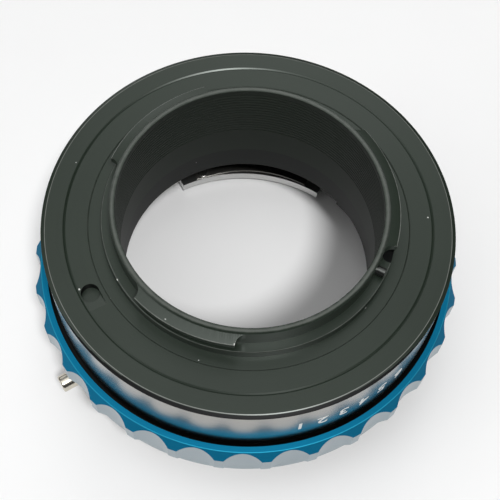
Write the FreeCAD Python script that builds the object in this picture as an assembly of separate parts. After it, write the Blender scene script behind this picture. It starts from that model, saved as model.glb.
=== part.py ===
import FreeCAD, Part
import math
import os

# Lens mount adapter: a three-lug male bayonet on top fits the camera, a
# three-claw female bayonet below takes the lens. Millimetres. Z=0 is the lens
# seat that the adapter stands on, the axis is Z, and +Z points to the camera.

# Distance between the two seats
flange_distance = 27.25

# Camera-side mount: throat, tube, neck, collar and lugs
throat_r = 18.2
tube_wall = 3.2
neck_wall = 0.8
neck_h = 4.5
rim_bevel = 0.2
collar_step = 1.35
collar_h = 1.38
collar_bevel = 0.1
lug_reach = 1.45
lug_t = 1.3
lug_top_drop = 0.35
lug_top_slope = 0.35
lug_spans = ((112.0, 163.0), (-14.0, 41.0), (-133.8, -92.4))
lug_fillet_r = 1.5

# Camera seat: lip over the barrel, sunk inner face and a shallow groove
flange_lip_t = 0.35
flange_bevel_w = 0.6
flange_bevel_h = 0.2
spigot_t = 1.35
inner_face_w = 1.95
inner_face_drop = 0.15
face_groove_in = 3.2
face_groove_w = 0.4
face_groove_d = 0.12

# Pocket in the camera seat for the camera's lock pin, with a ramp leading in
pocket_angle = -148.2
pocket_step = 5.1
pocket_d = 2.5
pocket_depth = 1.2
pocket_ramp_step = 0.4
pocket_ramp_deg = 7.0

# Radial stop screw in the neck
stop_angle = -24.0
stop_above_seat = 2.25
stop_d = 1.3
stop_out = 1.2

# Lens-side mount plate with three inward claws, wider than the camera side
plate_t = 2.4
plate_edge = 0.2
lens_throat_step = 5.85
plate_throat_bevel = 0.3
claw_reach = 1.85
claw_t = 1.5
claw_centres = (90.5, -29.5, -149.5)
claw_width_deg = 61.0

# Silver barrel: outer wall, web under the camera mount, journal for the ring
barrel_wall = 1.7
barrel_web_t = 2.4
barrel_edge = 0.15
shoulder_step = 1.5
shoulder_above_web = 0.9
journal_step = 0.55
journal_wall = 2.35

# Lens-side housing, whose top carries the barrel
housing_top_z = 10.8
housing_step = 1.0
housing_foot_bevel = 0.5
housing_foot_h = 1.6
plate_inset = 0.9
plate_proud = 0.8
cavity_gap = 0.25
ledge_step = 1.1
ledge_t = 2.8

# Scalloped aperture ring
running_fit = 0.05
end_play = 0.15
ring_top_gap = 0.55
ring_shroud_h = 1.9
ring_face_w = 0.88
ring_bevel_w = 1.07
ring_bevel_h = 1.25
ring_band_h = 3.4
ring_skirt_gap = 0.4
ring_skirt_h = 2.5
ring_skirt_edge = 0.15
scallop_count = 30
scallop_phase = 8.2
scallop_depth = 0.93
scallop_width_deg = 9.7
ring_turn_deg = 60.0

# Shims above and below the ring's web
upper_shim_t = 0.1
lower_shim_t = 0.25
shim_clearance = 0.1

# Drive ring inside the barrel
drive_bore_step = 0.2
drive_rim_w = 1.5
drive_rim_h = 3.1
drive_plate_t = 2.2
drive_play = 0.1

# Lever that hangs from the drive ring
lever_angle = 41.0
lever_width_deg = 11.5
lever_in = 1.95
lever_t = 0.9
lever_drop = 4.0
lever_foot_t = 0.8
lever_foot_in = 1.3
lever_screw_d = 0.9
lever_screw_head_d = 1.3
lever_screw_head_h = 0.3
lever_screw_grip = 1.2
lever_screw_spread_deg = 3.4

# Screw in one scallop that joins the ring to the drive ring through the journal
coupling_scallop = 7
coupling_d = 1.4
coupling_head_d = 2.3
coupling_head_t = 0.85
coupling_head_sunk = 0.15
coupling_slot_gap = 0.12

# Screws up through the web into the camera mount's tube
mount_screw_count = 4
mount_screw_first = 45.0
mount_screw_d = 1.4
mount_screw_head_d = 2.4
mount_screw_grip = 2.6

# Screws through plate and housing into the journal
plate_screw_count = 5
plate_screw_d = 1.4
plate_screw_head_d = 2.1
plate_screw_grip = 2.4
countersink_h = 0.5
hole_clearance = 0.1
thread_runout = 0.4

# Leaf springs on the claws
leaf_t = 0.2
leaf_inset = 0.2
leaf_width_deg = 48.0
leaf_rise = 0.5
leaf_flat = 2.8
leaf_screw_d = 1.0
leaf_screw_grip = 1.1
leaf_screw_head_d = 1.4
leaf_screw_head_t = 0.25

# Lens lock: pin, coil spring and the knob that draws the pin back
lock_angle = -144.7
lock_d = 2.0
lock_lift = 0.05
lock_edge = 0.2
lock_travel_out = 1.5
lock_travel_in = 0.4
lock_spring_d = 1.8
lock_spring_wire = 0.28
lock_spring_h = 3.2
lock_spring_turns = 4
lock_spring_runs = 16
lock_spring_sides = 8
knob_d = 2.6
knob_edge = 0.2
knob_gap = 0.3
knob_wall_gap = 0.4
knob_length = 3.7
knob_shank_d = 1.3
knob_shank_in = 0.4
knob_slot_gap = 0.12

# Alignment dot in the housing's wall
dot_angle = 25.0
dot_z = 4.2
dot_d = 1.8
dot_depth = 0.5
dot_proud = 0.05

# Angles that follow
coupling_angle = scallop_phase + coupling_scallop * 360 / scallop_count

# Radii that follow, outward from the camera-side throat
neck_r = throat_r + neck_wall
tube_r = throat_r + tube_wall
collar_r = neck_r + collar_step
lug_r = neck_r + lug_reach
inner_face_r = collar_r + inner_face_w
pocket_r = neck_r + pocket_step
mount_screw_r = (throat_r + tube_r) / 2
drive_bore_r = throat_r + drive_bore_step
lever_r = drive_bore_r + lever_in
plate_throat_r = throat_r + lens_throat_step
claw_r = plate_throat_r - claw_reach
leaf_inner_r = claw_r + leaf_inset
leaf_outer_r = plate_throat_r - leaf_inset
cavity_r = plate_throat_r + cavity_gap
ledge_r = cavity_r - ledge_step
journal_bore_r = cavity_r + journal_step
journal_r = journal_bore_r + journal_wall
wall_screw_r = (journal_bore_r + journal_r) / 2
drive_r = journal_bore_r - running_fit
drive_rim_r = drive_r - drive_rim_w
housing_r = journal_r + housing_step
plate_r = housing_r - plate_inset
flange_r = journal_r + shoulder_step
face_groove_r = flange_r - face_groove_in
barrel_bore_r = flange_r - barrel_wall
ring_bore_r = journal_r + running_fit
ring_skirt_bore_r = housing_r + ring_skirt_gap
ring_top_bore_r = flange_r + ring_top_gap
ring_face_r = ring_top_bore_r + ring_face_w
ring_outer_r = ring_face_r + ring_bevel_w
scallop_floor_r = ring_outer_r - scallop_depth

# Heights that follow
neck_top_z = flange_distance + neck_h
lip_z = flange_distance - flange_lip_t
drive_top_z = housing_top_z + drive_rim_h
drive_plate_z = drive_top_z - drive_plate_t
web_z = drive_top_z + drive_play
tube_foot_z = web_z + barrel_web_t
shoulder_z = web_z + shoulder_above_web
ring_web_bottom_z = housing_top_z + lower_shim_t
ring_web_top_z = shoulder_z - upper_shim_t - end_play
ring_top_z = shoulder_z + ring_shroud_h
ring_bottom_z = housing_top_z - ring_skirt_h
band_top_z = ring_top_z - ring_bevel_h
band_bottom_z = band_top_z - ring_band_h
bevel_foot_z = band_bottom_z - ring_bevel_h
ledge_z = housing_top_z - ledge_t
coupling_z = (drive_plate_z + drive_top_z) / 2
lever_foot_z = drive_plate_z - lever_foot_t
lever_tip_z = lever_foot_z - lever_drop
lock_top_z = housing_top_z - lock_spring_h
knob_z = ring_bottom_z - knob_gap - lock_travel_in - knob_d / 2

axis = FreeCAD.Vector(0, 0, 1)
origin = FreeCAD.Vector(0, 0, 0)


def at(radius, angle, z):
    """Point on the circle of that radius, at an angle in degrees from +X."""
    turn = math.radians(angle)
    return FreeCAD.Vector(radius * math.cos(turn), radius * math.sin(turn), z)


def outward(angle):
    return at(1, angle, 0)


def evenly(count, first):
    return [first + k * 360 / count for k in range(count)]


def revolve(profile):
    """Solid turned about Z from a closed outline of (radius, height) points."""
    points = [FreeCAD.Vector(r, 0, z) for r, z in profile]
    face = Part.Face(Part.makePolygon(points + points[:1]))
    return face.revolve(origin, axis, 360)


def disc(radius, low, high):
    return Part.makeCylinder(radius, high - low, FreeCAD.Vector(0, 0, low))


def washer(outer, inner, low, high):
    return disc(outer, low, high).cut(disc(inner, low, high))


def sector(outer, inner, start, end, low, high):
    """Part of a ring between two angles."""
    middle = (start + end) / 2
    edges = [
        Part.LineSegment(at(inner, start, low), at(outer, start, low)),
        Part.Arc(at(outer, start, low), at(outer, middle, low), at(outer, end, low)),
        Part.LineSegment(at(outer, end, low), at(inner, end, low)),
        Part.Arc(at(inner, end, low), at(inner, middle, low), at(inner, start, low)),
    ]
    face = Part.Face(Part.Wire([edge.toShape() for edge in edges]))
    return face.extrude(FreeCAD.Vector(0, 0, high - low))


def rod(diameter, start, direction, length):
    return Part.makeCylinder(diameter / 2, length, start, direction)


def sunk_hole(diameter, head_d, head_h, length, seat):
    """Upright hole from seat with the countersink of the screw that it takes."""
    head = Part.makeCone(head_d / 2, diameter / 2, head_h, seat, axis)
    return head.fuse(rod(diameter, seat, axis, length))


def sunk_screw(diameter, head_d, head_h, length, seat, angle):
    """Upright countersunk screw whose slotted head lies flush at seat."""
    slot_w = head_d / 7
    slot = Part.makeBox(head_d, slot_w, head_h / 2, FreeCAD.Vector(-head_d / 2, -slot_w / 2, 0))
    slot.rotate(origin, axis, angle)
    slot.translate(seat)
    return sunk_hole(diameter, head_d, head_h, length, seat).cut(slot)


def end_slot(end_r, angle, z, width, depth):
    """Screwdriver slot across the outer end of a radial screw."""
    slot = Part.makeBox(depth, 8 * width, width, FreeCAD.Vector(end_r - depth, -4 * width, -width / 2))
    slot.rotate(origin, axis, angle)
    slot.translate(FreeCAD.Vector(0, 0, z))
    return slot


def camera_mount():
    body = revolve([
        (throat_r, tube_foot_z),
        (tube_r, tube_foot_z),
        (tube_r, lip_z - spigot_t),
        (barrel_bore_r, lip_z - spigot_t),
        (barrel_bore_r, lip_z),
        (flange_r, lip_z),
        (flange_r, flange_distance - flange_bevel_h),
        (flange_r - flange_bevel_w, flange_distance),
        (face_groove_r + face_groove_w / 2, flange_distance),
        (face_groove_r, flange_distance - face_groove_d),
        (face_groove_r - face_groove_w / 2, flange_distance),
        (inner_face_r, flange_distance),
        (inner_face_r - inner_face_drop, flange_distance - inner_face_drop),
        (collar_r, flange_distance - inner_face_drop),
        (collar_r, flange_distance + collar_h - collar_bevel),
        (collar_r - collar_bevel, flange_distance + collar_h),
        (neck_r, flange_distance + collar_h),
        (neck_r, neck_top_z - rim_bevel),
        (neck_r - rim_bevel, neck_top_z),
        (throat_r, neck_top_z),
    ])
    for start, end in lug_spans:
        body = body.fuse(bayonet_lug(start, end))
    stop = rod(stop_d, at(throat_r / 2, stop_angle, flange_distance + stop_above_seat),
               outward(stop_angle), throat_r)
    body = body.cut(lock_pocket()).cut(stop)
    for angle in evenly(mount_screw_count, mount_screw_first):
        body = body.cut(rod(mount_screw_d, at(mount_screw_r, angle, tube_foot_z), axis,
                            mount_screw_grip + thread_runout))
    return body


def bayonet_lug(start, end):
    """Lug with a sloping top, whose ends run into the neck in a hollow curve."""
    top = neck_top_z - lug_top_drop
    root = neck_r - neck_wall / 2
    lug = revolve([
        (root, top - lug_t),
        (lug_r, top - lug_t),
        (lug_r, top - lug_top_slope),
        (neck_r, top),
        (root, top),
    ])
    flare = math.degrees(lug_fillet_r / lug_r)
    lug = lug.common(sector(2 * lug_r, root / 2, start - flare, end + flare, 0, neck_top_z))
    for tip, side in ((start, -1), (end, 1)):
        centre = at(neck_r + lug_fillet_r, tip + side * flare, 0)
        lug = lug.cut(rod(2 * lug_fillet_r, centre, axis, neck_top_z))
    return lug


def lock_pocket():
    """Round blind hole with a ramp that climbs to the seat beside it."""
    floor = flange_distance - pocket_depth
    hole = rod(pocket_d, at(pocket_r, pocket_angle, floor), axis, 2 * pocket_depth)
    length = pocket_r * math.radians(pocket_ramp_deg)
    side = -pocket_d / 2
    outline = Part.makePolygon([
        FreeCAD.Vector(0, side, floor + pocket_ramp_step),
        FreeCAD.Vector(length, side, flange_distance),
        FreeCAD.Vector(0, side, flange_distance),
        FreeCAD.Vector(0, side, floor + pocket_ramp_step),
    ])
    ramp = Part.Face(outline).extrude(FreeCAD.Vector(0, pocket_d, 0))
    ramp.rotate(origin, axis, pocket_angle + 90)
    ramp.translate(at(pocket_r, pocket_angle, 0))
    return hole.fuse(ramp)


def bayonet_stop_screw():
    """Grub screw through the neck's wall that stands out of it."""
    z = flange_distance + stop_above_seat
    body = rod(stop_d, at(throat_r + neck_wall / 8, stop_angle, z), outward(stop_angle),
               neck_wall * 7 / 8 + stop_out)
    return body.cut(end_slot(neck_r + stop_out, stop_angle, z, stop_d / 4, stop_d / 4))


def camera_mount_screws():
    return Part.makeCompound([
        sunk_screw(mount_screw_d, mount_screw_head_d, countersink_h,
                   barrel_web_t + mount_screw_grip, at(mount_screw_r, angle, web_z), angle)
        for angle in evenly(mount_screw_count, mount_screw_first)])


def barrel():
    """Silver outer wall, the web inside it, and the journal that the ring turns on."""
    body = revolve([
        (throat_r, web_z),
        (journal_bore_r, web_z),
        (journal_bore_r, housing_top_z),
        (journal_r, housing_top_z),
        (journal_r, shoulder_z),
        (flange_r - barrel_edge, shoulder_z),
        (flange_r, shoulder_z + barrel_edge),
        (flange_r, lip_z),
        (barrel_bore_r, lip_z),
        (barrel_bore_r, tube_foot_z),
        (throat_r, tube_foot_z),
    ])
    for angle in evenly(mount_screw_count, mount_screw_first):
        body = body.cut(sunk_hole(mount_screw_d + hole_clearance,
                                  mount_screw_head_d + hole_clearance, countersink_h,
                                  barrel_web_t, at(mount_screw_r, angle, web_z)))
    for angle in plate_screw_angles():
        body = body.cut(rod(plate_screw_d, at(wall_screw_r, angle, housing_top_z), axis,
                            plate_screw_grip + thread_runout))
    return body.cut(coupling_slot())


def coupling_slot():
    """Slot through the journal along which the coupling screw travels."""
    width = coupling_d + 2 * coupling_slot_gap
    inner, outer = journal_bore_r - coupling_d, journal_r + coupling_d
    ends = (coupling_angle, coupling_angle + ring_turn_deg)
    slot = sector(outer, inner, ends[0], ends[1], coupling_z - width / 2, coupling_z + width / 2)
    for angle in ends:
        slot = slot.fuse(rod(width, at(inner, angle, coupling_z), outward(angle), outer - inner))
    return slot


def aperture_ring():
    """Ring with a flat top, a bevel, a band of scallops and a plain skirt."""
    body = revolve([
        (ring_top_bore_r, ring_top_z),
        (ring_face_r, ring_top_z),
        (ring_outer_r, band_top_z),
        (ring_outer_r, band_bottom_z),
        (ring_face_r, bevel_foot_z),
        (ring_face_r, ring_bottom_z + ring_skirt_edge),
        (ring_face_r - ring_skirt_edge, ring_bottom_z),
        (ring_skirt_bore_r, ring_bottom_z),
        (ring_skirt_bore_r, ring_web_bottom_z),
        (ring_bore_r, ring_web_bottom_z),
        (ring_bore_r, ring_web_top_z),
        (ring_top_bore_r, ring_web_top_z),
    ])
    body = body.cut(Part.makeCompound([scallop(a) for a in evenly(scallop_count, scallop_phase)]))
    out = outward(coupling_angle)
    seat_r = scallop_floor_r - coupling_head_sunk - coupling_head_t
    seat = at(seat_r, coupling_angle, coupling_z)
    hole = rod(coupling_d, at(ring_bore_r / 2, coupling_angle, coupling_z), out, seat_r)
    return body.cut(hole).cut(rod(coupling_head_d + hole_clearance, seat, out, coupling_head_d))


def scallop(angle):
    """Upright cylinder that cuts one hollow of the named width and depth."""
    half_angle = math.radians(scallop_width_deg / 2)
    half_width = ring_outer_r * math.sin(half_angle)
    sag = ring_outer_r * math.cos(half_angle) - scallop_floor_r
    radius = (half_width ** 2 + sag ** 2) / (2 * sag)
    foot = at(scallop_floor_r + radius, angle, bevel_foot_z)
    return rod(2 * radius, foot, axis, ring_top_z)


def ring_upper_shim():
    return washer(flange_r - barrel_edge, journal_r + shim_clearance,
                  shoulder_z - upper_shim_t, shoulder_z)


def ring_lower_shim():
    return washer(housing_r - shim_clearance, journal_r + shim_clearance,
                  housing_top_z, ring_web_bottom_z)


def ring_coupling_screw():
    """Cheese-head screw sunk in a scallop, whose shank reaches the drive ring."""
    out = outward(coupling_angle)
    head_r = scallop_floor_r - coupling_head_sunk
    seat_r = head_r - coupling_head_t
    head = rod(coupling_head_d, at(seat_r, coupling_angle, coupling_z), out, coupling_head_t)
    shank = rod(coupling_d, at(drive_rim_r, coupling_angle, coupling_z), out,
                seat_r - drive_rim_r)
    slot = end_slot(head_r, coupling_angle, coupling_z, coupling_head_d / 7, coupling_head_t / 2)
    return head.fuse(shank).cut(slot)


def aperture_drive_ring():
    """Turning ring inside the barrel: a rim in the journal and a plate round the throat."""
    body = revolve([
        (drive_bore_r, drive_plate_z),
        (drive_rim_r, drive_plate_z),
        (drive_rim_r, housing_top_z),
        (drive_r, housing_top_z),
        (drive_r, drive_top_z),
        (drive_bore_r, drive_top_z),
    ])
    for angle in lever_screw_angles():
        body = body.cut(rod(lever_screw_d, at(lever_screw_r(), angle, drive_plate_z), axis,
                            lever_screw_grip + thread_runout))
    return body.cut(rod(coupling_d, at(drive_rim_r - drive_rim_w, coupling_angle, coupling_z),
                        outward(coupling_angle), 3 * drive_rim_w))


def lever_screw_angles():
    return (lever_angle - lever_screw_spread_deg, lever_angle + lever_screw_spread_deg)


def lever_screw_r():
    return lever_r - lever_foot_in / 2


def aperture_lever():
    """Bent strip: a foot under the drive ring and a blade that hangs towards the lens."""
    start = lever_angle - lever_width_deg / 2
    end = lever_angle + lever_width_deg / 2
    outer = lever_r + lever_t
    foot = sector(outer, lever_r - lever_foot_in, start, end, lever_foot_z, drive_plate_z)
    blade = sector(outer, lever_r, start, end, lever_tip_z, lever_foot_z)
    body = foot.fuse(blade).removeSplitter()
    for angle in lever_screw_angles():
        body = body.cut(sunk_hole(lever_screw_d, lever_screw_head_d, lever_screw_head_h,
                                  lever_foot_t, at(lever_screw_r(), angle, lever_foot_z)))
    return body


def aperture_lever_screws():
    return Part.makeCompound([
        sunk_screw(lever_screw_d, lever_screw_head_d, lever_screw_head_h,
                   lever_foot_t + lever_screw_grip, at(lever_screw_r(), angle, lever_foot_z), angle)
        for angle in lever_screw_angles()])


def plate_screw_angles():
    """Even spacing that keeps the journal's slot midway between two screws."""
    slot_middle = coupling_angle + ring_turn_deg / 2
    return evenly(plate_screw_count, slot_middle - 180 / plate_screw_count)


def lens_housing():
    """Black shell round the lens's rear end, with a ledge under the drive ring."""
    body = revolve([
        (cavity_r, plate_t),
        (plate_r, plate_t),
        (plate_r, plate_proud),
        (housing_r - housing_foot_bevel, plate_proud),
        (housing_r, plate_proud + housing_foot_h),
        (housing_r, housing_top_z),
        (ledge_r, housing_top_z),
        (ledge_r, ledge_z),
        (cavity_r, ledge_z),
    ])
    for angle in plate_screw_angles():
        body = body.cut(rod(plate_screw_d + hole_clearance, at(wall_screw_r, angle, 0), axis,
                            2 * housing_top_z))
    dot = rod(dot_d, at(housing_r - dot_depth, dot_angle, dot_z), outward(dot_angle), dot_d)
    return body.cut(lock_bore()).cut(knob_slot()).cut(dot)


def lock_bore():
    return rod(lock_d + 2 * running_fit, at(wall_screw_r, lock_angle, -plate_t), axis,
               2 * housing_top_z)


def knob_slot():
    """Upright slot in the housing's wall along which the knob's shank travels."""
    width = knob_shank_d + 2 * knob_slot_gap
    low, high = knob_z - lock_travel_out, knob_z + lock_travel_in
    length = 2 * (housing_r - wall_screw_r)
    slot = Part.makeBox(length, width, high - low, FreeCAD.Vector(wall_screw_r, -width / 2, low))
    slot.rotate(origin, axis, lock_angle)
    for z in (low, high):
        slot = slot.fuse(rod(width, at(wall_screw_r, lock_angle, z), outward(lock_angle), length))
    return slot


def lens_mount_plate():
    """Seat ring with three inward claws, countersunk holes and the lock pin's bore."""
    body = revolve([
        (plate_throat_r + plate_throat_bevel, 0),
        (plate_r - plate_edge, 0),
        (plate_r, plate_edge),
        (plate_r, plate_t),
        (plate_throat_r, plate_t),
        (plate_throat_r, plate_throat_bevel),
    ])
    root = (plate_throat_r + plate_r) / 2
    for centre in claw_centres:
        half = claw_width_deg / 2
        claw = sector(root, claw_r, centre - half, centre + half, plate_t - claw_t, plate_t)
        body = body.fuse(claw)
    for angle in plate_screw_angles():
        body = body.cut(sunk_hole(plate_screw_d + hole_clearance,
                                  plate_screw_head_d + hole_clearance, countersink_h,
                                  plate_t, at(wall_screw_r, angle, 0)))
    for centre in claw_centres:
        body = body.cut(rod(leaf_screw_d, leaf_screw_place(centre, plate_t - leaf_screw_grip),
                            axis, plate_t))
    return body.cut(lock_bore())


def lens_plate_screws():
    return Part.makeCompound([
        sunk_screw(plate_screw_d, plate_screw_head_d, countersink_h,
                   housing_top_z + plate_screw_grip, at(wall_screw_r, angle, 0), angle)
        for angle in plate_screw_angles()])


def leaf_screw_place(centre, z):
    """Point on the axis of the screw at the fixed end of one leaf spring."""
    inset = math.degrees(leaf_flat / 2 / leaf_outer_r)
    return at((leaf_inner_r + leaf_outer_r) / 2, centre + leaf_width_deg / 2 - inset, z)


def claw_spring(centre):
    """Strip bowed between a flat fixed end and a free end that rests on the claw."""
    half = leaf_width_deg / 2
    reach = leaf_outer_r * math.sin(math.radians(half))

    def stations(z):
        """Fixed end, bend, crown and free end of one skin."""
        return (FreeCAD.Vector(-2 * reach, 0, z), FreeCAD.Vector(leaf_flat - reach, 0, z),
                FreeCAD.Vector(leaf_flat / 2, 0, z + leaf_rise), FreeCAD.Vector(reach, 0, z))

    low, high = stations(plate_t), stations(plate_t + leaf_t)
    edges = [
        Part.LineSegment(low[0], low[1]),
        Part.Arc(low[1], low[2], low[3]),
        Part.LineSegment(low[3], high[3]),
        Part.Arc(high[3], high[2], high[1]),
        Part.LineSegment(high[1], high[0]),
        Part.LineSegment(high[0], low[0]),
    ]
    strip = Part.Face(Part.Wire([edge.toShape() for edge in edges]))
    strip = strip.extrude(FreeCAD.Vector(0, 2 * leaf_outer_r, 0))
    strip.rotate(origin, axis, centre - 90)
    blank = sector(leaf_outer_r, leaf_inner_r, centre - half, centre + half, 0, 2 * plate_t)
    return strip.common(blank).cut(rod(leaf_screw_d, leaf_screw_place(centre, 0), axis,
                                       2 * plate_t))


def claw_spring_screws():
    screws = []
    for centre in claw_centres:
        head = rod(leaf_screw_head_d, leaf_screw_place(centre, plate_t + leaf_t), axis,
                   leaf_screw_head_t)
        shank = rod(leaf_screw_d, leaf_screw_place(centre, plate_t - leaf_screw_grip), axis,
                    leaf_screw_grip + leaf_t)
        screws.append(head.fuse(shank))
    return Part.makeCompound(screws)


def lock_pin():
    """Upright pin that catches the lens, with a cross hole for the knob's shank."""
    pin = rod(lock_d, at(wall_screw_r, lock_angle, lock_lift), axis, lock_top_z - lock_lift)
    foot = [edge for edge in pin.Edges if edge.CenterOfMass.z < lock_lift + lock_edge]
    pin = pin.makeChamfer(lock_edge, foot)
    return pin.cut(rod(knob_shank_d, at(wall_screw_r - knob_shank_in, lock_angle, knob_z),
                       outward(lock_angle), lock_d))


def release_knob():
    """Slim shank held in the lock pin, and a thick outer end for the finger."""
    out = outward(lock_angle)
    shank_r = wall_screw_r - knob_shank_in
    head_r = housing_r + knob_wall_gap
    shank = rod(knob_shank_d, at(shank_r, lock_angle, knob_z), out, head_r - shank_r)
    head = rod(knob_d, at(head_r, lock_angle, knob_z), out, knob_length)
    rims = [edge for edge in head.Edges if len(edge.Vertexes) == 1]
    return head.makeChamfer(knob_edge, rims).fuse(shank)


def lock_spring():
    """Coil between the lock pin and the barrel, in short straight runs of wire."""
    coil_r = (lock_spring_d - lock_spring_wire) / 2
    rise = lock_spring_h - lock_spring_wire
    count = lock_spring_turns * lock_spring_runs
    path = [at(coil_r, k * 360 / lock_spring_runs, k * rise / count) for k in range(count + 1)]
    along = (path[1] - path[0]).normalize()
    side = outward(0) - along * along.dot(outward(0))
    side.normalize()
    section = []
    for k in range(lock_spring_sides + 1):
        turn = 2 * math.pi * k / lock_spring_sides
        reach = side * math.cos(turn) + along.cross(side) * math.sin(turn)
        section.append(path[0] + reach * (lock_spring_wire / 2))
    coil = Part.makePolygon(path).makePipeShell([Part.makePolygon(section)], True, False, 1)
    coil.translate(at(wall_screw_r, lock_angle, lock_top_z + lock_spring_wire / 2))
    return coil


def lens_index_dot():
    """Enamel dot in the housing's wall, just proud of it."""
    plug = rod(dot_d, at(housing_r - dot_depth, dot_angle, dot_z), outward(dot_angle), dot_d)
    return plug.common(disc(housing_r + dot_proud, 0, housing_top_z))


parts = {
    "camera_mount": camera_mount(),
    "bayonet_stop_screw": bayonet_stop_screw(),
    "camera_mount_screws": camera_mount_screws(),
    "barrel": barrel(),
    "aperture_ring": aperture_ring(),
    "ring_upper_shim": ring_upper_shim(),
    "ring_lower_shim": ring_lower_shim(),
    "ring_coupling_screw": ring_coupling_screw(),
    "aperture_drive_ring": aperture_drive_ring(),
    "aperture_lever": aperture_lever(),
    "aperture_lever_screws": aperture_lever_screws(),
    "lens_housing": lens_housing(),
    "lens_mount_plate": lens_mount_plate(),
    "lens_plate_screws": lens_plate_screws(),
    "claw_spring_screws": claw_spring_screws(),
    "lock_pin": lock_pin(),
    "lock_spring": lock_spring(),
    "release_knob": release_knob(),
    "lens_index_dot": lens_index_dot(),
}
for number, centre in enumerate(claw_centres, 1):
    parts["claw_spring_%d" % number] = claw_spring(centre)

os.makedirs("parts", exist_ok=True)
for name, shape in parts.items():
    shape.exportStep("parts/%s.step" % name)
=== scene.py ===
import math

import bmesh
import bpy
from mathutils import Matrix, Quaternion, Vector


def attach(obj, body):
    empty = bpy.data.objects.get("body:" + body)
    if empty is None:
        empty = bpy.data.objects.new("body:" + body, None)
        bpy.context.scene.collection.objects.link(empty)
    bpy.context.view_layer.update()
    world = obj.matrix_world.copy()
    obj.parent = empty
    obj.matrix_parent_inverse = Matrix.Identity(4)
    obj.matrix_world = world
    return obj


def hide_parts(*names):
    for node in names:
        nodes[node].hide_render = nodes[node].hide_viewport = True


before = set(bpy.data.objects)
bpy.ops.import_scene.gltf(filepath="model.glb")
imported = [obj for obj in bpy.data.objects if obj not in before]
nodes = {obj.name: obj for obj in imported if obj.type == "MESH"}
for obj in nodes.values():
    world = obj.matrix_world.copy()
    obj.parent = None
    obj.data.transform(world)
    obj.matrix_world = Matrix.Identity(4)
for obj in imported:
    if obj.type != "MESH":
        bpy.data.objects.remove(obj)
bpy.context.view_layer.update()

# The pieces' dictionaries hold millimetres and degrees. Heights run from the foot,
# angles from +X as seen from the camera's side.
mm = 0.001
up = Vector((0, 0, 1))
reach = 1.0  # how far a cutting shape goes past the surface that it cuts
hair = 0.03  # the finest bevel on a turned edge


def polar(radius, degrees, height):
    turn = math.radians(degrees)
    return Vector((radius * math.cos(turn), radius * math.sin(turn), height)) * mm


def fromSrgb(level):
    # a grey from 0 to 255 as the light it sends back
    linear = ((level / 255 + 0.055) / 1.055) ** 2.4
    return (linear, linear, linear, 1.0)


# Shapes

def turned(profile, steps=360):
    bm = bmesh.new()
    corners = [bm.verts.new(polar(radius, 0, height)) for radius, height in profile]
    for first, second in zip(corners, corners[1:] + corners[:1]):
        bm.edges.new((first, second))
    bmesh.ops.spin(bm, geom=bm.verts[:] + bm.edges[:], cent=(0, 0, 0), axis=up,
                   angle=math.tau, steps=steps, use_merge=True)
    bmesh.ops.recalc_face_normals(bm, faces=bm.faces[:])
    return bm


def swept(profile, start, end, steps):
    # a solid with this cross-section from one angle to another
    bm = bmesh.new()
    corners = [bm.verts.new(polar(radius, start, height)) for radius, height in profile]
    face = bm.faces.new(corners)
    bmesh.ops.spin(bm, geom=[face] + face.edges[:] + corners, cent=(0, 0, 0), axis=up,
                   angle=math.radians(end - start), steps=steps)
    bmesh.ops.recalc_face_normals(bm, faces=bm.faces[:])
    return bm


def slab(outline, low, high):
    bm = bmesh.new()
    face = bm.faces.new([bm.verts.new((x * mm, y * mm, low * mm)) for x, y in outline])
    grown = bmesh.ops.extrude_face_region(bm, geom=[face])["geom"]
    lifted = [v for v in grown if isinstance(v, bmesh.types.BMVert)]
    bmesh.ops.translate(bm, verts=lifted, vec=up * (high - low) * mm)
    bmesh.ops.recalc_face_normals(bm, faces=bm.faces[:])
    return bm


def rod(start, direction, diameter, length, segments=64, endDiameter=None):
    bm = bmesh.new()
    endDiameter = diameter if endDiameter is None else endDiameter
    aim = direction.to_track_quat("Z", "Y").to_matrix().to_4x4()
    middle = Matrix.Translation(start + direction * length * mm / 2)
    bmesh.ops.create_cone(bm, cap_ends=True, segments=segments, radius1=diameter * mm / 2,
                          radius2=endDiameter * mm / 2, depth=length * mm, matrix=middle @ aim)
    return bm


def joined(shapes):
    whole = bmesh.new()
    for shape in shapes:
        mesh = bpy.data.meshes.new("part")
        shape.to_mesh(mesh)
        shape.free()
        whole.from_mesh(mesh)
        bpy.data.meshes.remove(mesh)
    return whole


def newObject(name, bm):
    mesh = bpy.data.meshes.new(name)
    bm.to_mesh(mesh)
    bm.free()
    piece = bpy.data.objects.new(name, mesh)
    bpy.context.scene.collection.objects.link(piece)
    return piece


def combine(piece, bm, operation):
    tool = newObject("tool", bm)
    change = piece.modifiers.new("change", "BOOLEAN")
    change.operation = operation
    change.solver = "EXACT"
    change.object = tool
    depsgraph = bpy.context.evaluated_depsgraph_get()
    result = bpy.data.meshes.new_from_object(piece.evaluated_get(depsgraph))
    piece.modifiers.clear()
    old, piece.data = piece.data, result
    bpy.data.meshes.remove(old)
    bpy.data.objects.remove(tool)


def dress(piece, body, materials, replaced=(), paint=None, sharp=18):
    mesh = piece.data
    mesh.name = piece.name
    mesh.materials.clear()
    for material in materials:
        mesh.materials.append(material)
    for face in mesh.polygons:
        face.use_smooth = True
        face.material_index = 0
        if paint:
            centre = face.center / mm
            face.material_index = paint(math.hypot(centre.x, centre.y), centre.z, face.normal)
    mesh.set_sharp_from_angle(angle=math.radians(sharp))
    evenLight = piece.modifiers.new("even light", "WEIGHTED_NORMAL")
    evenLight.keep_sharp = True
    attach(piece, body)
    if replaced:
        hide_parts(*replaced)
    print("made", piece.name, len(mesh.polygons), "faces")
    return piece


# Effects that several finishes share

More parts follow.
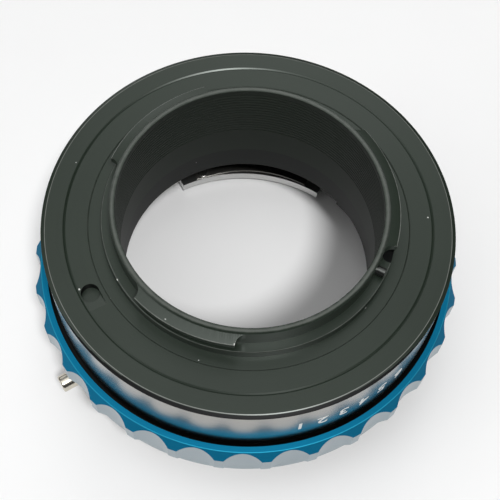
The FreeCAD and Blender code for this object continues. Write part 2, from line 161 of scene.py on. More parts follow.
def newGroup(name, inputs, outputs):
    group = bpy.data.node_groups.new(name, "ShaderNodeTree")
    for label, kind, value in inputs:
        socket = group.interface.new_socket(label, in_out="INPUT", socket_type=kind)
        socket.default_value = value
    for label, kind in outputs:
        group.interface.new_socket(label, in_out="OUTPUT", socket_type=kind)
    return group, group.nodes.new("NodeGroupInput"), group.nodes.new("NodeGroupOutput")


def addMath(tree, operation, first, second=None, third=None, clamp=False):
    node = tree.nodes.new("ShaderNodeMath")
    node.operation = operation
    node.use_clamp = clamp
    for socket, value in zip(node.inputs, (first, second, third)):
        if isinstance(value, bpy.types.NodeSocket):
            tree.links.new(value, socket)
        elif value is not None:
            socket.default_value = value
    return node.outputs[0]


def addObjectPlace(tree):
    return tree.nodes.new("ShaderNodeTexCoord").outputs["Object"]


def addTurnedPlace(tree):
    # place, radius, height and angle round the lens axis
    place = addObjectPlace(tree)
    parts = tree.nodes.new("ShaderNodeSeparateXYZ")
    tree.links.new(place, parts.inputs[0])
    x, y, z = parts.outputs
    radius = addMath(tree, "SQRT", addMath(tree, "ADD", addMath(tree, "MULTIPLY", x, x),
                                           addMath(tree, "MULTIPLY", y, y)))
    return place, radius, z, addMath(tree, "ARCTAN2", y, x)


def addNoise(tree, vector, scale, detail=2.0, roughness=0.5):
    noise = tree.nodes.new("ShaderNodeTexNoise")
    noise.inputs["Detail"].default_value = detail
    noise.inputs["Roughness"].default_value = roughness
    tree.links.new(vector, noise.inputs["Vector"])
    if isinstance(scale, bpy.types.NodeSocket):
        tree.links.new(scale, noise.inputs["Scale"])
    else:
        noise.inputs["Scale"].default_value = scale
    return noise.outputs["Fac"]


def makeToolLines():
    # fine rings that a lathe leaves, on faces by radius and on walls by height
    group, given, result = newGroup("toolLines", [
        ("Lines", "NodeSocketFloat", 4000.0), ("Wander", "NodeSocketFloat", 1.0),
    ], [("Lines", "NodeSocketFloat"), ("Patches", "NodeSocketFloat")])
    place, radius, height, turn = addTurnedPlace(group)
    vector = group.nodes.new("ShaderNodeCombineXYZ")
    group.links.new(addMath(group, "MULTIPLY", radius, given.outputs["Lines"]), vector.inputs[0])
    group.links.new(addMath(group, "MULTIPLY", height, given.outputs["Lines"]), vector.inputs[1])
    group.links.new(addMath(group, "MULTIPLY", turn, given.outputs["Wander"]), vector.inputs[2])
    group.links.new(addNoise(group, vector.outputs[0], 1.0, 3.0), result.inputs["Lines"])
    group.links.new(addNoise(group, place, 90.0, 3.0), result.inputs["Patches"])
    return group


def makeRimWearAndHighlight():
    # a thin line along one turned edge, part wear and part painted highlight, broken up by noise
    group, given, result = newGroup("rimWearAndHighlight", [
        ("Radius", "NodeSocketFloat", 0.02), ("Height", "NodeSocketFloat", 0.02),
        ("Width", "NodeSocketFloat", 0.0001), ("Break up", "NodeSocketFloat", 0.5),
    ], [("Mask", "NodeSocketFloat")])
    place, radius, height, turn = addTurnedPlace(group)
    across = addMath(group, "SUBTRACT", radius, given.outputs["Radius"])
    along = addMath(group, "SUBTRACT", height, given.outputs["Height"])
    distance = addMath(group, "SQRT", addMath(group, "ADD", addMath(group, "MULTIPLY", across, across),
                                              addMath(group, "MULTIPLY", along, along)))
    apart = addMath(group, "DIVIDE", distance, given.outputs["Width"])
    near = addMath(group, "SUBTRACT", 1.0, apart, clamp=True)
    speck = addNoise(group, place, 700.0, 4.0, 0.7)
    kept = addMath(group, "MULTIPLY", given.outputs["Break up"], addMath(group, "MULTIPLY", speck, 2.0))
    wornAndLit = addMath(group, "SUBTRACT", addMath(group, "MULTIPLY", near, 2.0), kept, clamp=True)
    group.links.new(wornAndLit, result.inputs["Mask"])
    return group


def makeNick():
    # one small bare spot with a ragged edge
    group, given, result = newGroup("nick", [
        ("Place", "NodeSocketVector", (0.0, 0.0, 0.0)), ("Size", "NodeSocketFloat", 0.0002),
    ], [("Mask", "NodeSocketFloat")])
    place = addObjectPlace(group)
    gap = group.nodes.new("ShaderNodeVectorMath")
    gap.operation = "DISTANCE"
    group.links.new(place, gap.inputs[0])
    group.links.new(given.outputs["Place"], gap.inputs[1])
    ragged = addMath(group, "MULTIPLY", addNoise(group, place, 5000.0, 3.0), 1.6)
    reach = addMath(group, "MULTIPLY", given.outputs["Size"], ragged)
    inside = addMath(group, "SUBTRACT", 1.0, addMath(group, "DIVIDE", gap.outputs["Value"], reach))
    group.links.new(addMath(group, "MULTIPLY", inside, 3.0, clamp=True), result.inputs["Mask"])
    return group


def makeDust():
    # scattered pale specks
    group, given, result = newGroup("dust", [
        ("Scale", "NodeSocketFloat", 300.0), ("Share", "NodeSocketFloat", 0.1),
        ("Size", "NodeSocketFloat", 0.12),
    ], [("Mask", "NodeSocketFloat")])
    place = addObjectPlace(group)
    cells = group.nodes.new("ShaderNodeTexVoronoi")
    group.links.new(place, cells.inputs["Vector"])
    group.links.new(given.outputs["Scale"], cells.inputs["Scale"])
    pick = group.nodes.new("ShaderNodeSeparateColor")
    group.links.new(cells.outputs["Color"], pick.inputs[0])
    chosen = addMath(group, "LESS_THAN", pick.outputs[0], given.outputs["Share"])
    grain = addMath(group, "MULTIPLY", given.outputs["Size"], pick.outputs[1])
    spot = addMath(group, "LESS_THAN", cells.outputs["Distance"], grain)
    group.links.new(addMath(group, "MULTIPLY", chosen, spot), result.inputs["Mask"])
    return group


toolLines = makeToolLines()
rimWearAndHighlight = makeRimWearAndHighlight()
dust = makeDust()
nick = makeNick()


class Finish:
    # one material being put together round its Principled shader

    def __init__(self, name, color, metallic, roughness, **constants):
        self.material = bpy.data.materials.new(name)
        self.material.use_nodes = True
        self.tree = self.material.node_tree
        self.shader = self.tree.nodes["Principled BSDF"]
        self.shader.inputs["Metallic"].default_value = metallic
        for label, value in constants.items():
            self.shader.inputs[label.replace("_", " ")].default_value = value
        self.color = self.socket("RGB", color)
        self.roughness = self.tree.nodes.new("ShaderNodeValue").outputs[0]
        self.roughness.default_value = roughness
        self.height = None

    def socket(self, kind, value):
        node = self.tree.nodes.new("ShaderNode" + kind)
        node.outputs[0].default_value = value
        return node.outputs[0]

    def use(self, group, **values):
        node = self.tree.nodes.new("ShaderNodeGroup")
        node.node_tree = group
        for label, value in values.items():
            node.inputs[label.replace("_", " ")].default_value = value
        return node.outputs

    def blendColor(self, mask, color, strength=1.0):
        mix = self.tree.nodes.new("ShaderNodeMix")
        mix.data_type = "RGBA"
        share = addMath(self.tree, "MULTIPLY", mask, strength, clamp=True)
        self.tree.links.new(share, mix.inputs["Factor"])
        self.tree.links.new(self.color, mix.inputs["A"])
        mix.inputs["B"].default_value = color
        self.color = mix.outputs["Result"]

    def shade(self, value, low, high):
        # the colour times a factor that follows a value from 0 to 1
        ranged = addMath(self.tree, "MULTIPLY_ADD", value, high - low, low)
        scaled = self.tree.nodes.new("ShaderNodeVectorMath")
        scaled.operation = "SCALE"
        self.tree.links.new(self.color, scaled.inputs[0])
        self.tree.links.new(ranged, scaled.inputs["Scale"])
        self.color = scaled.outputs[0]

    def roughen(self, value, amount):
        centred = addMath(self.tree, "SUBTRACT", value, 0.5)
        self.roughness = addMath(self.tree, "MULTIPLY_ADD", centred, amount, self.roughness, clamp=True)

    def bump(self, value, distance, strength=1.0):
        node = self.tree.nodes.new("ShaderNodeBump")
        node.inputs["Distance"].default_value = distance
        node.inputs["Strength"].default_value = strength
        self.tree.links.new(value, node.inputs["Height"])
        if self.height:
            self.tree.links.new(self.height, node.inputs["Normal"])
        self.height = node.outputs[0]

    def radialGrain(self, anisotropy):
        tangent = self.tree.nodes.new("ShaderNodeTangent")
        tangent.direction_type = "RADIAL"
        tangent.axis = "Z"
        self.tree.links.new(tangent.outputs[0], self.shader.inputs["Tangent"])
        self.shader.inputs["Anisotropic"].default_value = anisotropy

    def done(self):
        self.tree.links.new(self.color, self.shader.inputs["Base Color"])
        self.tree.links.new(self.roughness, self.shader.inputs["Roughness"])
        if self.height:
            self.tree.links.new(self.height, self.shader.inputs["Normal"])
        return self.material


# Finishes

def blackMountFinish():
    finish = Finish("blackMountFinish", (0.0135, 0.0205, 0.014, 1), 0.0, 0.35,
                    Specular_IOR_Level=0.58, Specular_Tint=(0.93, 1.0, 0.95, 1))
    lines = finish.use(toolLines, Lines=9000.0, Wander=0.6)
    finish.shade(lines["Patches"], 0.86, 1.14)
    finish.shade(lines["Lines"], 0.86, 1.14)
    finish.roughen(lines["Lines"], 0.10)
    finish.roughen(lines["Patches"], 0.08)
    finish.bump(lines["Lines"], 0.000003)
    # lighter lines along the edges, part wear and part painted highlight
    for radius, height, width, breakUp, strength in mountEdges:
        wornAndLit = finish.use(rimWearAndHighlight, Radius=radius * mm, Height=height * mm, Width=width * mm,
                          Break_up=breakUp)
        finish.blendColor(wornAndLit["Mask"], (0.30, 0.31, 0.29, 1), strength)
    for radius, angle, height, size in mountNicks:
        bare = finish.use(nick, Place=polar(radius, angle, height), Size=size * mm)
        finish.blendColor(bare["Mask"], (0.62, 0.63, 0.60, 1))
    specks = finish.use(dust, Scale=2600.0, Share=0.0003, Size=0.32)
    finish.blendColor(specks["Mask"], (0.55, 0.56, 0.55, 1), 0.8)
    return finish.done()


def boreFinish():
    finish = Finish("boreFinish", (0.018, 0.024, 0.018, 1), 0.0, 0.55, Specular_IOR_Level=0.14)
    lines = finish.use(toolLines, Lines=5000.0, Wander=0.2)
    finish.shade(lines["Patches"], 0.8, 1.2)
    finish.roughen(lines["Patches"], 0.1)
    return finish.done()


def silverFinish():
    finish = Finish("silverFinish", (0.33, 0.315, 0.29, 1), 1.0, 0.22)
    lines = finish.use(toolLines, Lines=14000.0, Wander=0.3)
    finish.shade(lines["Lines"], 0.94, 1.04)
    finish.roughen(lines["Lines"], 0.08)
    finish.roughen(lines["Patches"], 0.05)
    finish.bump(lines["Lines"], 0.0000012)
    finish.radialGrain(0.3)
    return finish.done()


def blueFinish():
    finish = Finish("blueFinish", (0.001, 0.185, 0.34, 1), 0.85, 0.58)
    lines = finish.use(toolLines, Lines=12000.0, Wander=0.4)
    finish.shade(lines["Lines"], 0.9, 1.1)
    finish.roughen(lines["Lines"], 0.10)
    # a lighter blue line along the top face's outer edge: a painted highlight
    edge = finish.use(rimWearAndHighlight, Radius=ring["faceR"] * mm, Height=ring["topZ"] * mm,
                      Width=ring["paintedHighlightWidth"] * mm, Break_up=0.3)
    finish.blendColor(edge["Mask"], (0.03, 0.42, 0.62, 1), 0.6)
    specks = finish.use(dust, Scale=2600.0, Share=0.001, Size=0.5)
    finish.blendColor(specks["Mask"], (0.7, 0.75, 0.78, 1), 0.8)
    return finish.done()


def cutMetalFinish():
    finish = Finish("cutMetalFinish", (0.31, 0.37, 0.405, 1), 1.0, 0.36)
    lines = finish.use(toolLines, Lines=6000.0, Wander=30.0)
    finish.shade(lines["Lines"], 0.9, 1.06)
    finish.roughen(lines["Lines"], 0.12)
    finish.roughen(lines["Patches"], 0.10)
    finish.bump(lines["Lines"], 0.000002)
    return finish.done()


def paintedShadeFinish():
    # near-black painted shade, laid on recesses, gaps, bores and the forward-facing part of the flange's
    # edge bevel
    finish = Finish("paintedShadeFinish", (0.003, 0.0035, 0.0035, 1), 0.0, 0.5, Specular_IOR_Level=0.15)
    lines = finish.use(toolLines, Lines=7000.0, Wander=0.5)
    finish.shade(lines["Patches"], 0.7, 1.3)
    finish.roughen(lines["Lines"], 0.1)
    return finish.done()


def blackAlloyFinish():
    finish = Finish("blackAlloyFinish", (0.010, 0.012, 0.0105, 1), 0.0, 0.55,
                    Specular_IOR_Level=0.16)
    lines = finish.use(toolLines, Lines=6000.0, Wander=0.5)
    finish.shade(lines["Patches"], 0.85, 1.15)
    finish.roughen(lines["Patches"], 0.1)
    finish.bump(lines["Lines"], 0.000003)
    specks = finish.use(dust, Scale=2600.0, Share=0.0015, Size=0.5)
    finish.blendColor(specks["Mask"], (0.5, 0.5, 0.49, 1), 0.6)
    return finish.done()


def plainMetalFinish(name, color, roughness, lineScale=8000.0, wander=1.0):
    finish = Finish(name, color, 1.0, roughness)
    lines = finish.use(toolLines, Lines=lineScale, Wander=wander)
    finish.shade(lines["Patches"], 0.92, 1.05)
    finish.roughen(lines["Lines"], 0.08)
    finish.roughen(lines["Patches"], 0.08)
    finish.bump(lines["Lines"], 0.0000015)
    return finish.done()


def paintFinish(name, color, roughness=0.45):
    finish = Finish(name, color, 0.0, roughness)
    lines = finish.use(toolLines, Lines=3000.0, Wander=1.0)
    finish.shade(lines["Patches"], 0.94, 1.04)
    finish.roughen(lines["Patches"], 0.1)
    return finish.done()


# Camera-side mount: flange, collar, neck with lugs and the grooved bore

mount = {
    "throatR": 18.2, "tubeR": 21.4, "tubeFootZ": 16.4,
    "neckR": 19.0, "neckTopZ": 31.75, "rimBevel": 0.2,
    "collarR": 20.35, "collarTopZ": 28.63, "collarBevel": 0.1,
    "flangeR": 28.7, "seatZ": 27.25, "lipZ": 26.9, "edgeBevel": (0.6, 0.2), "edgeRings": 8,
    # how much of the edge bevel takes painted shade, and the facing at which it starts and fades in
    "paintedShadeShare": 0.8, "paintedShadeFrom": 0.5, "paintedShadeFade": 0.4,
    "innerFaceR": 22.3, "innerFaceZ": 27.1, "spigotR": 27.0, "spigotZ": 25.55,
    "stepFlare": 0.12, "grooveR": 25.5, "grooveWidth": 0.4, "grooveDepth": 0.12,
    "lugR": 20.45, "lugTopZ": 31.4, "lugThickness": 1.3, "lugSlope": 0.35, "lugEdge": 0.06, "lugRoot": 0.4,
    "lugSpans": ((112.0, 163.0), (-14.0, 41.0), (-133.8, -92.4)), "lugFillet": 1.5,
    "lugCutFoot": 0.3, "lugCutHeight": 2.5,
    "boreTopZ": 31.2, "boreFootZ": 21.6, "borePitch": 0.62, "boreDepth": 0.13,
    "boreShares": (0.28, 0.5, 0.72), "throatEdge": 0.05,
    "pocketR": 24.1, "pocketAngle": -148.2, "pocketD": 2.5, "pocketDepth": 1.2,
    "pocketStep": 0.45, "pocketRamp": 6.0,
    "stopAngle": -24.0, "stopZ": 29.5, "stopD": 1.3,
    "screwR": 19.8, "screwD": 1.4, "screwDepth": 3.0, "screwAngles": (45, 135, 225, 315),
    "recessR": 20.0, "recessAngle": -14.5, "recessD": 2.3, "recessDepth": 1.1, "recessCut": 1.4,
}
# edges with a line of wear and painted highlight: radius, height, width, break-up, strength
mountEdges = (
    (28.14, 27.24, 0.09, 0.45, 0.55),
    (18.6, 31.75, 0.50, 0.80, 0.22),
    (18.2, 31.72, 0.09, 0.40, 0.55),
    (20.30, 28.62, 0.10, 0.60, 0.40),
    (22.25, 27.22, 0.09, 0.60, 0.30),
    (20.42, 31.05, 0.11, 0.75, 0.70),
)
# nicks down to bare metal: radius, angle, height, size
mountNicks = (
    (25.2, -150.6, 27.25, 0.2), (24.0, -144.6, 26.7, 0.16), (23.9, -143.6, 26.8, 0.18),
    (20.3, -92.0, 31.2, 0.40), (20.1, -119.5, 31.3, 0.22), (20.1, -118.2, 31.3, 0.18),
    (20.4, -146.5, 28.6, 0.25), (20.3, 163.5, 31.2, 0.35), (20.3, -14.5, 31.2, 0.30),
    (24.9, 4.5, 27.25, 0.18),
)


def boreGrooves():
    points = []
    pitch = mount["borePitch"]
    count = int((mount["boreTopZ"] - mount["boreFootZ"]) / pitch)
    foot, middle, top = mount["boreShares"]
    for k in range(count):
        z = mount["boreFootZ"] + k * pitch
        points += [(mount["throatR"], z + foot * pitch),
                   (mount["throatR"] + mount["boreDepth"], z + middle * pitch),
                   (mount["throatR"], z + top * pitch)]
    return points


def edgeRings():
    # the flange's bevel in narrow rings, so that its line of painted shade can taper
    width, height = mount["edgeBevel"]
    steps = mount["edgeRings"]
    outer = mount["flangeR"] - hair
    return [(outer - (width - hair) * k / steps, mount["seatZ"] - height * (1 - k / steps))
            for k in range(steps + 1)]


def lugShape(start, end):
    root, out, top, edge = mount["neckR"], mount["lugR"], mount["lugTopZ"], mount["lugEdge"]
    foot, outerTop = top - mount["lugThickness"], top - mount["lugSlope"]
    flare = math.degrees(mount["lugFillet"] / out)
    inner = root - mount["lugRoot"]
    profile = [(inner, foot), (out - edge, foot), (out, foot + edge), (out, outerTop - edge),
               (out - edge, outerTop), (root, top), (inner, top)]
    return swept(profile, start - flare, end + flare, round((end - start) * 2))


def lugHollows():
    # round cuts that leave the lugs' ends hollow
    fillet = mount["lugFillet"]
    flare = math.degrees(fillet / mount["lugR"])
    foot = mount["lugTopZ"] - mount["lugThickness"] - mount["lugCutFoot"]
    cuts = []
    for start, end in mount["lugSpans"]:
        for angle in (start - flare, end + flare):
            centre = polar(mount["neckR"] + fillet, angle, foot)
            cuts.append(rod(centre, up, 2 * fillet, mount["lugCutHeight"], 96))
    return cuts


def pocketRamp():
    floor = mount["seatZ"] - mount["pocketDepth"] + mount["pocketStep"]
    length = mount["pocketR"] * math.radians(mount["pocketRamp"])
    half = mount["pocketD"] / 2
    bm = slab([(0, -half), (length, -half), (length, half), (0, half)], floor, mount["seatZ"] + reach)
    for v in bm.verts:
        if v.co.x > 0 and v.co.z < mount["seatZ"] * mm:
            v.co.z = mount["seatZ"] * mm
    turn = Matrix.Rotation(math.radians(mount["pocketAngle"] + 90), 4, "Z")
    place = Matrix.Translation(polar(mount["pocketR"], mount["pocketAngle"], 0))
    bmesh.ops.transform(bm, matrix=place @ turn, verts=bm.verts[:])
    return bm


def makeCameraMount():
    m = mount
    bevelWidth, bevelHeight = m["edgeBevel"]
    piece = newObject("cameraMount", turned([
        (m["tubeR"], m["tubeFootZ"]), (m["tubeR"], m["spigotZ"]), (m["spigotR"], m["spigotZ"]),
        (m["spigotR"], m["lipZ"]), (m["flangeR"], m["lipZ"]),
        (m["flangeR"], m["seatZ"] - bevelHeight - hair),
    ] + edgeRings() + [
        (m["grooveR"] + m["grooveWidth"] / 2, m["seatZ"]), (m["grooveR"], m["seatZ"] - m["grooveDepth"]),
        (m["grooveR"] - m["grooveWidth"] / 2, m["seatZ"]),
        (m["innerFaceR"] + hair, m["seatZ"]), (m["innerFaceR"], m["seatZ"] - hair),
        (m["innerFaceR"] - m["stepFlare"], m["innerFaceZ"]),
        (m["collarR"], m["innerFaceZ"]),
        (m["collarR"], m["collarTopZ"] - m["collarBevel"]),
        (m["collarR"] - m["collarBevel"], m["collarTopZ"]),
        (m["neckR"], m["collarTopZ"]),
        (m["neckR"], m["neckTopZ"] - m["rimBevel"]), (m["neckR"] - m["rimBevel"], m["neckTopZ"]),
        (m["throatR"] + m["throatEdge"], m["neckTopZ"]), (m["throatR"], m["neckTopZ"] - m["throatEdge"]),
    ] + boreGrooves()[::-1] + [(m["throatR"], m["tubeFootZ"])]))
    for start, end in m["lugSpans"]:
        combine(piece, lugShape(start, end), "UNION")
    for cut in lugHollows():
        combine(piece, cut, "DIFFERENCE")
    floor = m["seatZ"] - m["pocketDepth"]
    combine(piece, rod(polar(m["pocketR"], m["pocketAngle"], floor), up, m["pocketD"], 3), "DIFFERENCE")
    combine(piece, pocketRamp(), "DIFFERENCE")
    out = polar(1, m["stopAngle"], 0).normalized()
    holes = [rod(polar(10, m["stopAngle"], m["stopZ"]), out, m["stopD"], 15)]
    for angle in m["screwAngles"]:
        foot = polar(m["screwR"], angle, m["tubeFootZ"] - reach)
        holes.append(rod(foot, up, m["screwD"], m["screwDepth"] + reach, 32))
    foot = polar(m["recessR"], m["recessAngle"], m["collarTopZ"] - m["recessDepth"])
    holes.append(rod(foot, up, m["recessD"], m["recessCut"], 48))
    combine(piece, joined(holes), "DIFFERENCE")

    def paint(radius, height, normal):
        # 1 in the bore, 2 for painted shade on the front edge, the pocket's wall and the collar's recess
        if radius < m["throatR"] + 0.2 and abs(normal.z) < 0.8:
            return 1
        # bevel faces that face forward get painted shade, over more of the bevel the more they face forward
        forward = -normal.y / max(0.001, math.hypot(normal.x, normal.y))
        facing = min(1, max(0, (forward - m["paintedShadeFrom"]) / m["paintedShadeFade"]))
        edge = radius > m["flangeR"] - m["paintedShadeShare"] * bevelWidth * facing
        belowSeat = height < m["seatZ"] - m["grooveDepth"] - 0.01
        # the pocket's wall and the collar's recess take painted shade
        pocketWall = radius > m["innerFaceR"] + 0.2 and belowSeat and abs(normal.z) < 0.5
        inCollar = m["neckR"] - 0.3 < radius < m["collarR"] - 0.02
        recess = inCollar and m["innerFaceZ"] + 0.1 < height < m["collarTopZ"] - 0.2
        return 2 if edge or pocketWall or recess else 0
    return dress(piece, "adapter_body", [blackMountFinish(), boreFinish(), paintedShade],
                 ["camera_mount"], paint)


# Silver barrel with its dark web and journal

barrel = {
    "outerR": 28.7, "topZ": 26.9, "shoulderZ": 14.9, "edge": 0.15, "spigotR": 27.0,
    "journalR": 27.2, "journalBoreR": 24.85, "footZ": 10.8, "webZ": 14.0, "webTopZ": 16.4, "throatR": 18.2,
    "slotStart": 92.2, "slotTurn": 60.0, "slotZ": 12.8, "slotHeight": 1.64,
    "plateScrewR": 26.025, "plateScrewD": 1.4, "plateScrewDepth": 2.8, "plateScrewFirst": 86.2,
    "webScrewR": 19.8, "webScrewD": 1.5, "webHeadD": 2.5, "webHeadH": 0.5,
}


def coupledSlot():
    b = barrel
    low, high = b["slotZ"] - b["slotHeight"] / 2, b["slotZ"] + b["slotHeight"] / 2
    near, far = b["journalBoreR"] - reach, b["journalR"] + reach
    ends = (b["slotStart"], b["slotStart"] + b["slotTurn"])
    shapes = [swept([(near, low), (far, low), (far, high), (near, high)], *ends, 60)]
    for angle in ends:
        out = polar(1, angle, 0).normalized()
        shapes.append(rod(polar(near, angle, b["slotZ"]), out, b["slotHeight"], far - near, 32))
    return shapes


def makeBarrel():
    b = barrel
    piece = newObject("silverBarrel", turned([
        (b["throatR"], b["webZ"]), (b["journalBoreR"], b["webZ"]), (b["journalBoreR"], b["footZ"]),
        (b["journalR"], b["footZ"]), (b["journalR"], b["shoulderZ"]),
        (b["outerR"] - b["edge"], b["shoulderZ"]), (b["outerR"], b["shoulderZ"] + b["edge"]),
        (b["outerR"], b["topZ"] - 0.04), (b["outerR"] - 0.04, b["topZ"]),
        (b["spigotR"], b["topZ"]), (b["spigotR"], b["webTopZ"]), (b["throatR"], b["webTopZ"]),
    ]))
    for shape in coupledSlot():
        combine(piece, shape, "DIFFERENCE")
    holes = []
    for k in range(5):
        place = polar(b["plateScrewR"], b["plateScrewFirst"] + 72 * k, b["footZ"] - reach)
        holes.append(rod(place, up, b["plateScrewD"], b["plateScrewDepth"] + reach, 32))
    for angle in mount["screwAngles"]:
        length = b["webTopZ"] - b["webZ"] + 2 * reach
        holes.append(rod(polar(b["webScrewR"], angle, b["webZ"] - reach), up, b["webScrewD"], length, 32))
    combine(piece, joined(holes), "DIFFERENCE")
    sinks = []
    for angle in mount["screwAngles"]:
        foot = polar(b["webScrewR"], angle, b["webZ"])
        sinks.append(rod(foot, up, b["webHeadD"], b["webHeadH"], 32, b["webScrewD"]))
    combine(piece, joined(sinks), "DIFFERENCE")

    def paint(radius, height, normal):
        # silver outside, black inside
        return 0 if radius > b["journalR"] - 0.05 else 1
    return dress(piece, "adapter_body", [silverFinish(), blackAlloy], ["barrel"], paint)


# Scalloped aperture ring

ring = {
    "topBoreR": 29.25, "faceR": 30.13, "outerR": 31.2, "topZ": 16.8, "bandTopZ": 15.55, "bandFootZ": 12.15,
    "bevelFootZ": 10.9, "footZ": 8.3, "footEdge": 0.15, "skirtBoreR": 28.6, "webFootZ": 11.05,
    "boreR": 27.25, "webTopZ": 14.65, "scallops": 30, "phase": 8.2, "floorR": 30.27, "widthDegrees": 9.7,
    "screwAngle": 92.2, "screwZ": 12.8, "screwD": 1.4, "headD": 2.4, "headSeatR": 29.27, "paintedHighlightWidth": 0.13,
    "blueDepth": 0.9,
}


def scallopTools():
    # round cutters whose arcs leave the scallops as wide and deep as they should be
    half = math.radians(ring["widthDegrees"] / 2)
    halfWidth = ring["outerR"] * math.sin(half)
    sag = ring["outerR"] * math.cos(half) - ring["floorR"]
    radius = (halfWidth ** 2 + sag ** 2) / (2 * sag)
    tools = []
    for k in range(ring["scallops"]):
        foot = polar(ring["floorR"] + radius, ring["phase"] + 360 * k / ring["scallops"], ring["bevelFootZ"])
        tools.append(rod(foot, up, 2 * radius, 8, 160))
    return joined(tools)


def makeApertureRing():
    r = ring
    piece = newObject("apertureRing", turned([
        (r["topBoreR"], r["topZ"] - 0.06), (r["topBoreR"] + 0.06, r["topZ"]),
        (r["faceR"] - 0.04, r["topZ"]), (r["faceR"] + 0.03, r["topZ"] - 0.035),
        (r["outerR"], r["bandTopZ"]), (r["outerR"], r["bandFootZ"]),
        (r["faceR"], r["bevelFootZ"]), (r["faceR"], r["footZ"] + r["footEdge"]),
        (r["faceR"] - r["footEdge"], r["footZ"]), (r["skirtBoreR"], r["footZ"]),
        (r["skirtBoreR"], r["webFootZ"]), (r["boreR"], r["webFootZ"]), (r["boreR"], r["webTopZ"]),
        (r["topBoreR"], r["webTopZ"]),
    ], steps=720))
    combine(piece, scallopTools(), "DIFFERENCE")
    out = polar(1, r["screwAngle"], 0).normalized()
    combine(piece, rod(polar(20, r["screwAngle"], r["screwZ"]), out, r["screwD"], 10, 48), "DIFFERENCE")
    seat = polar(r["headSeatR"], r["screwAngle"], r["screwZ"])
    combine(piece, rod(seat, out, r["headD"], 3), "DIFFERENCE")

    def paint(radius, height, normal):
        # blue on top and down the upper bevel, cut metal below, painted shade in the bores
        if radius < r["topBoreR"] + 0.05:
            return 2
        return 0 if height > r["bandTopZ"] - r["blueDepth"] and normal.z > 0.15 else 1
    return dress(piece, "aperture_control", [blueFinish(), cutMetalFinish(), paintedShade],
                 ["aperture_ring"], paint)


# Knob of the lens lock

knob = {
    "angle": -144.7, "z": 6.3, "shankD": 1.3, "shankFromR": 25.625, "headFromR": 28.6, "headD": 2.6,
    "headLength": 3.7, "edge": 0.22, "edgeRound": 0.3,
}


def makeReleaseKnob():
    k = knob
    start = k["headFromR"] - k["shankFromR"]
    end = start + k["headLength"]
    head, shank, edge = k["headD"] / 2, k["shankD"] / 2, k["edge"]
    part = k["edgeRound"] * edge
    profile = [(0, 0), (shank, 0), (shank, start),
               (head - edge, start), (head - part, start + part), (head, start + edge),
               (head, end - edge), (head - part, end - part), (head - edge, end), (0, end)]
    bm = bmesh.new()
    line = [bm.verts.new((radius * mm, 0, height * mm)) for radius, height in profile]
    for first, second in zip(line, line[1:]):
        bm.edges.new((first, second))
    bmesh.ops.spin(bm, geom=bm.verts[:] + bm.edges[:], cent=(0, 0, 0), axis=up, angle=math.tau,
                   steps=96, use_merge=True)
    bmesh.ops.remove_doubles(bm, verts=bm.verts[:], dist=0.001 * mm)
    out = polar(1, k["angle"], 0).normalized()
    place = Matrix.Translation(polar(k["shankFromR"], k["angle"], k["z"]))
    aim = out.to_track_quat("Z", "Y").to_matrix().to_4x4()
    bmesh.ops.transform(bm, matrix=place @ aim, verts=bm.verts[:])
    bmesh.ops.recalc_face_normals(bm, faces=bm.faces[:])
    piece = newObject("releaseKnob", bm)
    return dress(piece, "lens_lock", [nickel], ["release_knob"])


# Plain numbers on the barrel, read with the lens side up

marks = {
    "text": "123456", "first": -73.0, "step": 6.2, "z": 21.7, "size": 3.3, "bold": 0.05, "proud": 0.012,
}


def makeMark(digit, angle):
    curve = bpy.data.curves.new("digit", "FONT")
    curve.body = digit
    curve.size = marks["size"] * mm
    curve.align_x = "CENTER"
    curve.align_y = "CENTER"
    curve.resolution_u = 6
    curve.offset = marks["bold"] * mm
    writing = bpy.data.objects.new("digit", curve)
    bpy.context.scene.collection.objects.link(writing)
    depsgraph = bpy.context.evaluated_depsgraph_get()
    mesh = bpy.data.meshes.new_from_object(writing.evaluated_get(depsgraph))
    bpy.data.objects.remove(writing)
    bm = bmesh.new()
    bm.from_mesh(mesh)
    bpy.data.meshes.remove(mesh)
    bmesh.ops.triangulate(bm, faces=bm.faces[:])
    for v in bm.verts:
        turn = -v.co.x / (barrel["outerR"] * mm)
        spot = polar(barrel["outerR"] + marks["proud"], angle + math.degrees(turn), marks["z"])
        v.co = spot - up * v.co.y
    return bm


def makeMarks():
    shapes = [makeMark(digit, marks["first"] + marks["step"] * k) for k, digit in enumerate(marks["text"])]
    bm = joined(shapes)
    grown = bmesh.ops.extrude_face_region(bm, geom=bm.faces[:])["geom"]
    for v in grown:
        if isinstance(v, bmesh.types.BMVert):
            flat = Vector((v.co.x, v.co.y, 0)).normalized()
            v.co -= flat * 2 * marks["proud"] * mm
    bmesh.ops.recalc_face_normals(bm, faces=bm.faces[:])
    piece = newObject("barrelNumbers", bm)
    return dress(piece, "adapter_body", [paintFinish("numberPaint", (0.75, 0.76, 0.75, 1))])


# Nodes that keep their own shape

def paintNodes(finish, *names):
    for name in names:
        nodes[name].data.materials.clear()
        nodes[name].data.materials.append(finish)


blackAlloy = blackAlloyFinish()
paintedShade = paintedShadeFinish()
nickel = plainMetalFinish("nickelFinish", (0.66, 0.62, 0.53, 1), 0.24, 9000.0)

makeCameraMount()
makeBarrel()
makeApertureRing()
makeReleaseKnob()
makeMarks()

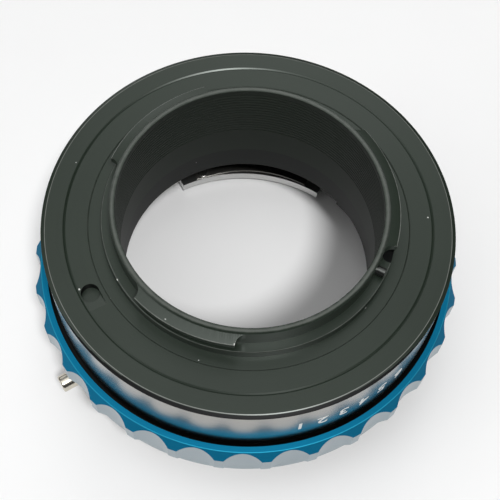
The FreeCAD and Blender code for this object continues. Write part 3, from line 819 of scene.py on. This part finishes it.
screwSteel = plainMetalFinish("screwFinish", (0.60, 0.60, 0.58, 1), 0.3)
paintNodes(blackAlloy, "lens_housing", "aperture_drive_ring", "aperture_lever")
paintNodes(plainMetalFinish("plateFinish", (0.60, 0.60, 0.59, 1), 0.32, 9000.0, 0.4), "lens_mount_plate")
paintNodes(plainMetalFinish("springFinish", (0.22, 0.215, 0.20, 1), 0.5),
           "claw_spring_1", "claw_spring_2", "claw_spring_3", "lock_spring")
paintNodes(screwSteel, "camera_mount_screws", "lens_plate_screws", "claw_spring_screws",
           "aperture_lever_screws", "ring_coupling_screw")
paintNodes(plainMetalFinish("stopFinish", (0.10, 0.105, 0.10, 1), 0.3), "bayonet_stop_screw")
paintNodes(nickel, "lock_pin")
paintNodes(plainMetalFinish("bronzeFinish", (0.62, 0.42, 0.2, 1), 0.3), "ring_upper_shim", "ring_lower_shim")
paintNodes(paintFinish("dotEnamel", (0.8, 0.8, 0.77, 1), 0.25), "lens_index_dot")


# Floor, light and camera

studio = {
    "floorSize": 3.0, "floorColor": fromSrgb(242), "skyBase": 0.02,
    "cameraPlace": (0.0, -67.45, 150.86), "cameraAim": (0.39, 1.31, 15.0), "cameraRoll": 3.92,
    "lens": 73.19,
}
# sides of the sky that are brighter or darker: azimuth, elevation, strength, power
skyLobes = {
    "zenith": (90.0, 90.0, 1.5, 20.0), "ceiling": (190.0, 66.0, 1.7, 16.0),
    "backWall": (85.0, 49.0, 2.6, 50.0), "backWindow": (112.0, 29.0, 2.6, 60.0),
    "leftWindow": (200.0, 22.0, 1.4, 20.0), "darkPatch": (-90.0, 68.0, -0.8, 50.0),
}
# lamps: azimuth, elevation, distance and size in metres, share of the floor's light
lamps = {"keyLamp": (-65.0, 65.0, 1.2, 0.22, 0.62)}


def makeFloor():
    bm = bmesh.new()
    bmesh.ops.create_grid(bm, x_segments=1, y_segments=1, size=studio["floorSize"] / 2)
    floor = newObject("floor", bm)
    finish = Finish("floorFinish", studio["floorColor"], 0.0, 0.7, Specular_IOR_Level=0.2)
    lines = finish.use(toolLines, Lines=200.0, Wander=1.0)
    finish.shade(lines["Patches"], 0.99, 1.01)
    floor.data.materials.append(finish.done())


def towards(azimuth, elevation):
    turn, rise = math.radians(azimuth), math.radians(elevation)
    return Vector((math.cos(turn) * math.cos(rise), math.sin(turn) * math.cos(rise), math.sin(rise)))


def makeSky():
    world = bpy.data.worlds.new("softSky")
    bpy.context.scene.world = world
    world.use_nodes = True
    tree = world.node_tree
    sky = tree.nodes["Background"]
    place = tree.nodes.new("ShaderNodeTexCoord")
    level = studio["skyBase"]
    for azimuth, elevation, strength, power in skyLobes.values():
        side = tree.nodes.new("ShaderNodeVectorMath")
        side.operation = "DOT_PRODUCT"
        tree.links.new(place.outputs["Generated"], side.inputs[0])
        side.inputs[1].default_value = towards(azimuth, elevation)
        near = addMath(tree, "MAXIMUM", side.outputs["Value"], 0.0)
        level = addMath(tree, "MULTIPLY_ADD", addMath(tree, "POWER", near, power), strength, level)
    level = addMath(tree, "MAXIMUM", level, 0.0)
    tree.links.new(level, sky.inputs["Strength"])
    sky.inputs["Color"].default_value = (1, 1, 1, 1)


def makeLamp(name, azimuth, elevation, distance, size, share):
    light = bpy.data.lights.new(name, "AREA")
    light.shape = "DISK"
    light.size = size
    light.energy = share * (math.pi * distance) ** 2 / math.sin(math.radians(elevation))
    lamp = bpy.data.objects.new(name, light)
    away = towards(azimuth, elevation)
    lamp.location = away * distance
    lamp.rotation_mode = "QUATERNION"
    lamp.rotation_quaternion = away.to_track_quat("Z", "Y")
    bpy.context.scene.collection.objects.link(lamp)


def makeCamera():
    data = bpy.data.cameras.new("camera")
    data.lens = studio["lens"]
    data.sensor_width = 36
    data.clip_start = 0.005
    camera = bpy.data.objects.new("camera", data)
    place = Vector(studio["cameraPlace"]) * mm
    aim = Vector(studio["cameraAim"]) * mm
    camera.location = place
    camera.rotation_mode = "QUATERNION"
    roll = Quaternion((0, 0, 1), math.radians(studio["cameraRoll"]))
    camera.rotation_quaternion = (aim - place).to_track_quat("-Z", "Y") @ roll
    bpy.context.scene.collection.objects.link(camera)
    bpy.context.scene.camera = camera


makeFloor()
makeSky()
for name, values in lamps.items():
    makeLamp(name, *values)
makeCamera()
bpy.context.scene.view_settings.view_transform = "Standard"
